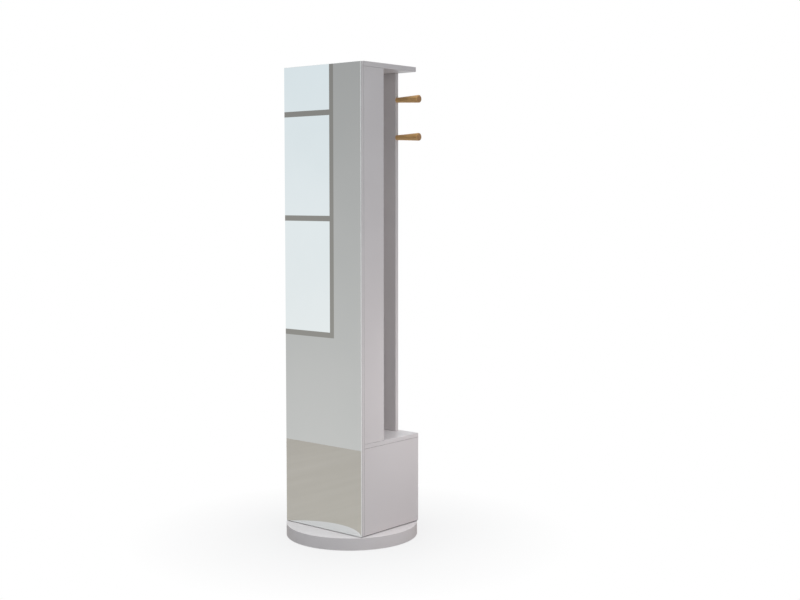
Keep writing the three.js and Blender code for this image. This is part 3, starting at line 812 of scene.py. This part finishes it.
collar_inside = rail_radius + COLLAR_GAP
collar_outside = collar_inside + COLLAR_WALL
flange_face = {}
for end_word, facing in (("front", 1), ("rear", -1)):
    node = f"rail_flange_{end_word}"
    low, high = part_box(node)
    flange_radius = (high.x - low.x) / 2
    depth = high.y - low.y
    flange_profile = [
        (0.0, 0.0),
        (flange_radius, 0.0),
        *arc((flange_radius - BEND, FLANGE_PLATE - BEND), BEND, 0, 90, steps=4),
        *reversed(arc((collar_outside + BEND, FLANGE_PLATE + BEND), BEND, 180, 270, steps=4)),
        *arc((collar_outside - BEND / 2, depth - BEND / 2), BEND / 2, 0, 90, steps=3),
        (collar_inside, depth),
        (collar_inside, FLANGE_PLATE),
        (0.0, FLANGE_PLATE),
    ]
    back = low.y if facing > 0 else high.y
    flange_face[end_word] = (back + facing * FLANGE_PLATE, facing)
    foot = Vector((0.0, back, rail_height))
    dress(node, lay_along(lathe(flange_profile, RAIL_STEPS), (0, facing, 0), foot), chrome)
print("flanges", round(2 * flange_radius / MM), "mm across")

# %% [markdown]
# ## Drawer fronts
#
# The fronts sit inside the carcass with a gap of 2.5 mm all round. Each is opened by a shallow half
# ellipse cut into its upper edge, wide enough for four fingers. The outline is drawn as a flat face,
# pushed back to the board's thickness, and then only the sharp edges are rounded: the small steps of
# the curve are left alone, because the angle between them is slight.

# %% Drawer fronts
NOTCH_HALF = 48 * MM
NOTCH_DEPTH = 20 * MM
NOTCH_STEPS = 40


def prism(outline, along):
    """A flat outline pushed along a line until it is a body."""
    form = bmesh.new()
    face = form.faces.new([form.verts.new(corner) for corner in outline])
    pushed = bmesh.ops.extrude_face_region(form, geom=[face])
    moved = [item for item in pushed["geom"] if isinstance(item, bmesh.types.BMVert)]
    bmesh.ops.translate(form, vec=along, verts=moved)
    return form


def notched_front(low, high):
    """A front with a half ellipse cut into its upper edge."""
    notch = arc((0.0, high.z), NOTCH_HALF, 0, -180, NOTCH_STEPS, rise=NOTCH_DEPTH)
    outline = [(low.x, high.z), (low.x, low.z), (high.x, low.z), (high.x, high.z), *notch]
    form = prism([(x, low.y, z) for x, z in outline], (0.0, high.y - low.y, 0.0))
    form.normal_update()
    round_edges(form, [edge for edge in form.edges if edge.calc_face_angle(0.0) > SHARP_FROM], BOARD_EASE)
    return mark_edges(form, leans("y"))


for level in LEVELS:
    node = f"drawer_{level}_front"
    low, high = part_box(node)
    dress(node, notched_front(low, high), lacquer)
    print(node, round((high.x - low.x) / MM), "x", round((high.z - low.z) / MM), "mm")

# %% [markdown]
# ## Drawer boxes and runners
#
# The boxes' boards and the runners' two steel members have their real sections already, down to the
# groove for the bottom panel, so they keep their solids. A fine bevel takes the hardness off their
# edges: sanded for the plywood, rolled for the steel. Only the bottom panels get none, because their
# side edges sit in the grooves. What the solids can't show well is the strip of balls between the
# members, so that is made anew: a thin pressed strip, and round balls that stand through it.

# %% Drawer boxes and runner members
SIDE_EASE = 0.5 * MM
BACK_EASE = 0.3 * MM
RUNNER_EASE = 0.25 * MM

for level in LEVELS:
    for side_word in SIDES:
        refinish(f"drawer_{level}_side_{side_word}", plywood["X"], SIDE_EASE)
        refinish(f"runner_{level}_outer_{side_word}", zinc, RUNNER_EASE)
        refinish(f"runner_{level}_inner_{side_word}", zinc, RUNNER_EASE)
    refinish(f"drawer_{level}_back", plywood["Y"], BACK_EASE)
    refinish(f"drawer_{level}_bottom", plywood["Z"])
print(len(LEVELS), "drawer boxes keep their solids")

# %% Ball strips
BALL_RADIUS = 1.95 * MM
BALL_INSET = 8 * MM
BALLS_ALONG = 3
BALL_SEGMENTS = 24
BALL_RINGS = 16
STRIP_STEEL = 1.0 * MM
STRIP_REACH = 6.2 * MM


def ball_strip(low, high, side):
    """A channel of thin steel with a row of balls along its upper and lower arm."""
    ball_rise = (high.z - low.z) / 2 - BALL_RADIUS
    middle = (low.z + high.z) / 2
    web = high.x if side > 0 else low.x
    arm = web - side * STRIP_REACH
    half = ball_rise + STRIP_STEEL / 2
    section = [
        (web, half),
        (arm, half),
        (arm, half - STRIP_STEEL),
        (web - side * STRIP_STEEL, half - STRIP_STEEL),
    ]
    section += [(x, -z) for x, z in reversed(section)]
    form = prism([(x, low.y, middle + z) for x, z in section], (0.0, high.y - low.y, 0.0))
    pitch = (high.y - low.y - 2 * BALL_INSET) / (BALLS_ALONG - 1)
    for row in (1, -1):
        for number in range(BALLS_ALONG):
            ball_y = low.y + BALL_INSET + number * pitch
            centre = Vector((arm + side * BALL_RADIUS, ball_y, middle + row * ball_rise))
            bmesh.ops.create_uvsphere(
                form, u_segments=BALL_SEGMENTS, v_segments=BALL_RINGS, radius=BALL_RADIUS,
                matrix=Matrix.Translation(centre),
            )
    return form


for level in LEVELS:
    for side_word, side in SIDES.items():
        node = f"runner_{level}_balls_{side_word}"
        dress(node, ball_strip(*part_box(node), side), zinc)
print(len(LEVELS) * len(SIDES), "strips with", 2 * BALLS_ALONG, "balls each")

# %% [markdown]
# ## Screws
#
# A few screws can be seen: two in each flange of the rail, three in each member of a runner and six in
# the base's bottom plate. They are countersunk, with a cross recess. One screw is made with care, and
# every other is an object that shares its mesh. The recess is cut with a boolean, because a
# cross-shaped pit is awkward to draw by hand and easy to subtract. A boolean can leave two points in
# one place where edges cross, so such points are merged afterwards.

# %% A screw and the cutter for its recess
SCREW_STEPS = 32
HEAD_RADIUS = 3.9 * MM
HEAD_RIM = 0.2 * MM
HEAD_DEPTH = 2.2 * MM
HEAD_DOME = 0.25 * MM
DOME_HALFWAY = 0.8
SHANK_RADIUS = 1.8 * MM
SHANK_LENGTH = 2.6 * MM
RECESS_HALF = 2.3 * MM
RECESS_ARM = 0.5 * MM
RECESS_DEPTH = 1.6 * MM


def quarter_turn(number):
    return Matrix.Rotation(number * math.pi / 2, 3, "Z")


quarter_cross = [(RECESS_HALF, -RECESS_ARM), (RECESS_HALF, RECESS_ARM), (RECESS_ARM, RECESS_ARM)]
cross = [
    quarter_turn(number) @ Vector((x, y, -RECESS_DEPTH)) for number in range(4) for x, y in quarter_cross
]
cutter = make_object("screw_recess", prism(cross, (0.0, 0.0, 2 * RECESS_DEPTH)), screw_zinc)

screw_profile = [
    (0.0, -SHANK_LENGTH),
    (SHANK_RADIUS, -SHANK_LENGTH),
    (SHANK_RADIUS, -HEAD_DEPTH),
    (HEAD_RADIUS, -HEAD_RIM),
    (HEAD_RADIUS, 0.0),
    (HEAD_RADIUS / 2, HEAD_DOME * DOME_HALFWAY),
    (0.0, HEAD_DOME),
]
blank = make_object("screw_blank", lathe(screw_profile, SCREW_STEPS), screw_zinc)
print("the head is", round(2 * HEAD_RADIUS / MM, 1), "mm across")

# %% Cut the recess
recess = blank.modifiers.new("recess", "BOOLEAN")
recess.operation = "DIFFERENCE"
recess.object = cutter
evaluated = blank.evaluated_get(bpy.context.evaluated_depsgraph_get())
screw_mesh = bpy.data.meshes.new_from_object(evaluated)
screw_mesh.name = "cross_recess_screw"
for helper in (blank, cutter):
    bpy.data.objects.remove(helper)

cleaned = bmesh.new()
cleaned.from_mesh(screw_mesh)
bmesh.ops.remove_doubles(cleaned, verts=cleaned.verts, dist=SAME_POINT)
cleaned.to_mesh(screw_mesh)
cleaned.free()
print("screw:", len(screw_mesh.polygons), "faces")

# %% [markdown]
# ## Where the screws go
#
# A screw's place comes from the piece that it holds: the face of a flange, the web of a runner's
# member, or the underside of the bottom plate. It rides on the body of that piece, so the inner
# members' screws travel with the drawers. A screw stands for no solid, so it only names its body.

# %% Screws in the rail's flanges
FLANGE_SCREW_RADIUS = 21 * MM


def screw(name, place, facing, body):
    """One more screw, with its head at place and looking along facing."""
    piece = add_object(name, screw_mesh)
    piece.matrix_world = pointing(facing, place)
    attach(piece, body)


for end_word, (face_y, facing) in flange_face.items():
    for side_word, side in SIDES.items():
        place = Vector((side * FLANGE_SCREW_RADIUS, face_y, rail_height))
        screw(f"flange_screw_{end_word}_{side_word}", place, (0, facing, 0), "cabinet")
print(screw_mesh.users, "screws in the flanges")

# %% Screws in the runners and the bottom plate
RUNNER_SCREW_SHARES = (0.08, 0.5, 0.92)
RUNNER_STEEL = 1.2 * MM
SCREW_PROUD = 0.1 * MM
PLATE_SCREWS = 6
PLATE_SCREW_INSET = 10 * MM
SCREW_SINK = 0.3 * MM

for level in LEVELS:
    for side_word, side in SIDES.items():
        for member, body, facing in (("outer", "cabinet", -side), ("inner", f"drawer_{level}", side)):
            low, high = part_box(f"runner_{level}_{member}_{side_word}")
            web = high.x if facing < 0 else low.x
            head_x = web + facing * (RUNNER_STEEL + SCREW_PROUD)
            for number, share in enumerate(RUNNER_SCREW_SHARES):
                place = Vector((head_x, low.y + (high.y - low.y) * share, (low.z + high.z) / 2))
                name = f"runner_screw_{level}_{member}_{side_word}_{number}"
                screw(name, place, (facing, 0, 0), body)

screw_circle = plate_high.x - PLATE_SCREW_INSET
screw_height = plate_low.z - HEAD_DOME + SCREW_SINK
for number in range(PLATE_SCREWS):
    angle = 2 * math.pi * (number + 0.5) / PLATE_SCREWS
    place = Vector((screw_circle * math.cos(angle), screw_circle * math.sin(angle), screw_height))
    screw(f"plate_screw_{number}", place, (0, 0, -1), "base")
print(screw_mesh.users, "screws share one mesh")

# %% [markdown]
# ## The floor and the background
#
# The picture has a plain white ground. The floor really is pale, and near the object it shows its own
# shading, so the base stands in a soft shadow. Further out, what the camera sees fades into plain
# white, and the world behind is the same white. That fade is only for rays that look: the light that
# the floor throws back on the object comes from its real, pale colour.

# %% Rays that look
def looking_rays(owner, seen_in_mirror=1.0):
    """1 for rays from the camera, and a share of it for those that come by a mirror or through glass."""
    rays = add_node(owner, "ShaderNodeLightPath").outputs
    total = rays["Is Camera Ray"]
    for kind in ("Is Glossy Ray", "Is Transmission Ray"):
        either = add_node(owner, "ShaderNodeMath", operation="MAXIMUM")
        join(owner, total, either.inputs[0])
        join(owner, times(owner, rays[kind], seen_in_mirror), either.inputs[1])
        total = either.outputs["Value"]
    return total


print("looking rays are told apart")

# %% Floor
SQUARE = ((-1, -1), (1, -1), (1, 1), (-1, 1))
FLOOR_HALF = 30.0
FLOOR_DROP = 0.2 * MM
FADE_START = 0.27
FADE_END = 0.85
WHITE = paint(255, 255, 255)
WHITE_NEAR = 0.80
FLOOR_IN_MIRROR = 0.35

pale = new_finish("pale_floor", Specular_IOR_Level=0.2, Roughness=0.7)
feed(pale, two_tones(pale, speckle(pale, 3.0, detail=3.0), paint(184, 184, 185), paint(191, 191, 191)))
distance = add_node(pale, "ShaderNodeVectorMath", operation="LENGTH")
join(pale, coordinates(pale), distance.inputs[0])
fade = between(pale, distance.outputs["Value"], FADE_START, FADE_END, to_low=WHITE_NEAR)
whitened = times(pale, fade, looking_rays(pale, FLOOR_IN_MIRROR))
white = add_node(pale, "ShaderNodeEmission", {"Color": WHITE, "Strength": 1.0})
blend = add_node(pale, "ShaderNodeMixShader")
sources = (whitened, principled(pale).outputs["BSDF"], white.outputs["Emission"])
for source, socket in zip(sources, blend.inputs):
    join(pale, source, socket)
join(pale, blend.outputs["Shader"], pale.node_tree.nodes["Material Output"].inputs["Surface"])

floor_mesh = bpy.data.meshes.new("floor")
floor_mesh.from_pydata([(x * FLOOR_HALF, y * FLOOR_HALF, 0.0) for x, y in SQUARE], [], [range(4)])
floor_mesh.materials.append(pale)
floor = add_object("floor", floor_mesh)
floor.location.z = -FLOOR_DROP
print("the floor is fully white from", FADE_END, "m outwards")

# %% World
SKY_LIGHT = (0.266, 0.276, 0.300, 1.0)

world = bpy.data.worlds.new("white_background")
bpy.context.scene.world = world
world.use_nodes = True
sky_colour = two_tones(world, looking_rays(world), SKY_LIGHT, WHITE)
join(world, sky_colour, world.node_tree.nodes["Background"].inputs["Color"])
print("the sky lights the object at", SKY_LIGHT[:3])

# %% [markdown]
# ## Something for the mirror to show
#
# A mirror is only as good as what it reflects, and in an empty white surrounding it looks like a white
# board. So the object stands inside a plain stage that only reflections can see: it throws no light,
# stops none, and the camera looks straight through it. Its walls are a quiet grey, darker towards the
# top, with a row of tall bright panels in each, and thin bars across and around the panels. Straight,
# bright outlines are what everyone reads as a reflection at once, because they are crisp on glass and
# only a soft blur on lacquer. All four walls have them, so the mirror has one to show in every pose.
#
# The walls simply shine in their own tone, which changes a little with height. The stage's floor is an
# ordinary matt surface instead, because the object should throw its shade on it.

# %% Finishes of the stage
STAGE_HEIGHT = 2.75
PANEL_LOW = 0.58
PANEL_HIGH = 2.25


def glow(name, low_tone, high_tone, low_height, high_height):
    """A surface that shows a tone by itself, and changes from one to another with height."""
    finish = new_finish(name)
    finish.node_tree.nodes.remove(principled(finish))
    height = between(finish, on_axis(finish, "Z"), low_height, high_height)
    shine = add_node(finish, "ShaderNodeEmission", {"Strength": 1.0})
    join(finish, two_tones(finish, height, low_tone, high_tone), shine.inputs["Color"])
    join(finish, shine.outputs["Emission"], finish.node_tree.nodes["Material Output"].inputs["Surface"])
    return finish


stage_wall = glow("stage_wall", paint(200, 199, 198), paint(150, 150, 151), 0.0, STAGE_HEIGHT)
stage_panel = glow("stage_panel", paint(238, 241, 243), paint(222, 231, 237), PANEL_LOW, PANEL_HIGH)
stage_bar = glow("stage_bar", paint(150, 147, 143), paint(134, 132, 130), PANEL_LOW, PANEL_HIGH)

stage_floor = new_finish("stage_floor", Specular_IOR_Level=0.2, Roughness=0.6)
streaks = speckle(stage_floor, 9.0, (1.0, 0.12, 1.0), detail=3.0)
feed(stage_floor, two_tones(stage_floor, streaks, paint(172, 164, 154), paint(184, 177, 168)))
print("stage finishes:", stage_wall.name, stage_panel.name, stage_bar.name, stage_floor.name)

# %% The stage's walls
STAGE_HALF_X = 2.05
STAGE_HALF_Y = 1.50
PANEL_WIDTH = 0.78
PANEL_PITCH = 1.25
PANEL_MARGIN = 0.07
BAR_HALF = 0.014
BAR_HEIGHTS = (PANEL_LOW, 1.18, 1.72, PANEL_HIGH)
PANEL_FORWARD = 0.01
BAR_FORWARD = 0.02
WALL, PANEL, BAR, FLOORING = range(4)

stage_form = bmesh.new()


def rectangle(across, upward, forward, quarter, finish_number):
    """An upright rectangle on one of the four walls; the first two values are its limits."""
    away = STAGE_HALF_X if quarter % 2 else STAGE_HALF_Y
    left, right = across
    low, high = upward
    corners = [
        stage_form.verts.new(quarter_turn(quarter) @ Vector((x, forward - away, z)))
        for x, z in ((left, low), (right, low), (right, high), (left, high))
    ]
    stage_form.faces.new(corners).material_index = finish_number


def bar_at(middle):
    return (middle - BAR_HALF, middle + BAR_HALF)


for quarter in range(4):
    wall_half = STAGE_HALF_Y if quarter % 2 else STAGE_HALF_X
    rectangle((-wall_half, wall_half), (0.0, STAGE_HEIGHT), 0.0, quarter, WALL)
    left = PANEL_MARGIN - wall_half
    while left + PANEL_WIDTH < wall_half:
        right = left + PANEL_WIDTH
        rectangle((left, right), (PANEL_LOW, PANEL_HIGH), PANEL_FORWARD, quarter, PANEL)
        for height in BAR_HEIGHTS:
            rectangle((left, right), bar_at(height), BAR_FORWARD, quarter, BAR)
        for side in (left, right):
            full_height = (PANEL_LOW - BAR_HALF, PANEL_HIGH + BAR_HALF)
            rectangle(bar_at(side), full_height, BAR_FORWARD, quarter, BAR)
        left += PANEL_PITCH
print("the stage has", sum(face.material_index == PANEL for face in stage_form.faces), "bright panels")

# %% The stage's floor
STAGE_FLOOR_DROP = 0.1 * MM

stage_ground = stage_form.faces.new([
    stage_form.verts.new((x * STAGE_HALF_X, y * STAGE_HALF_Y, -STAGE_FLOOR_DROP)) for x, y in SQUARE
])
stage_ground.material_index = FLOORING

stage_mesh = bpy.data.meshes.new("reflected_stage")
stage_form.to_mesh(stage_mesh)
stage_form.free()
for finish in (stage_wall, stage_panel, stage_bar, stage_floor):
    stage_mesh.materials.append(finish)
stage = add_object("reflected_stage", stage_mesh)
stage.visible_camera = False
stage.visible_diffuse = False
stage.visible_shadow = False
print("the stage is", 2 * STAGE_HALF_X, "x", 2 * STAGE_HALF_Y, "m")

# %% [markdown]
# ## Light
#
# Soft, even light suits pale furniture, but with no direction at all the boards would merge. The main
# light comes from nearly overhead and makes the upward faces the lightest. It is a sun with a very
# wide disc and not a lamp, because a lamp above a tall object lights its top far more than its foot.
# Three soft boxes fill in: one at the front, one low at the right, which warms the side and grazes the
# rear edges, and one behind, so that the drawers don't stand in the dark. None of them shows in a
# reflection, because the stage's bright panels do that.

# %% Main light
SUN_PLACE = Vector((0.35, -0.75, 4.2))
SUN_POWER = 2.2
SUN_DISC = math.radians(40)


def add_light(name, kind, place, aim, power, tint):
    """A light at a place, looking at a point, that no camera or reflection sees."""
    light = bpy.data.lights.new(name, kind)
    light.energy = power
    light.color = tint
    holder = add_object(name, light)
    holder.location = place
    holder.rotation_euler = (Vector(aim) - Vector(place)).to_track_quat("-Z", "Y").to_euler()
    holder.visible_camera = False
    holder.visible_glossy = False
    return light


sun = add_light(
    "overhead_sun", "SUN", SUN_PLACE, aim=(0.0, 0.0, 0.0), power=SUN_POWER, tint=(0.96, 0.98, 1.0),
)
sun.angle = SUN_DISC
print("the main light is", round(math.degrees(SUN_PLACE.angle(UP))), "degrees off the vertical")

# %% Soft boxes
def soft_box(name, place, aim, size, watts, tint):
    """A rectangle of light; size is its width and height."""
    box = add_light(name, "AREA", place, aim, watts, tint)
    box.shape = "RECTANGLE"
    box.size, box.size_y = size


soft_box(
    "side_box", place=(0.92, 0.22, 0.55), aim=(0.19, 0.0, 0.52),
    size=(0.4, 0.25), watts=1.8, tint=(1.0, 0.92, 0.92),
)
soft_box(
    "front_box", place=(2.6, -1.7, 2.1), aim=(0.0, 0.0, 1.3),
    size=(1.4, 1.4), watts=8.0, tint=(1.0, 0.98, 0.985),
)
soft_box(
    "rear_box", place=(-2.3, 2.1, 1.8), aim=(0.0, 0.0, 0.8),
    size=(1.6, 1.6), watts=26.0, tint=(1.0, 0.985, 0.97),
)
print(len(bpy.data.lights), "lights")
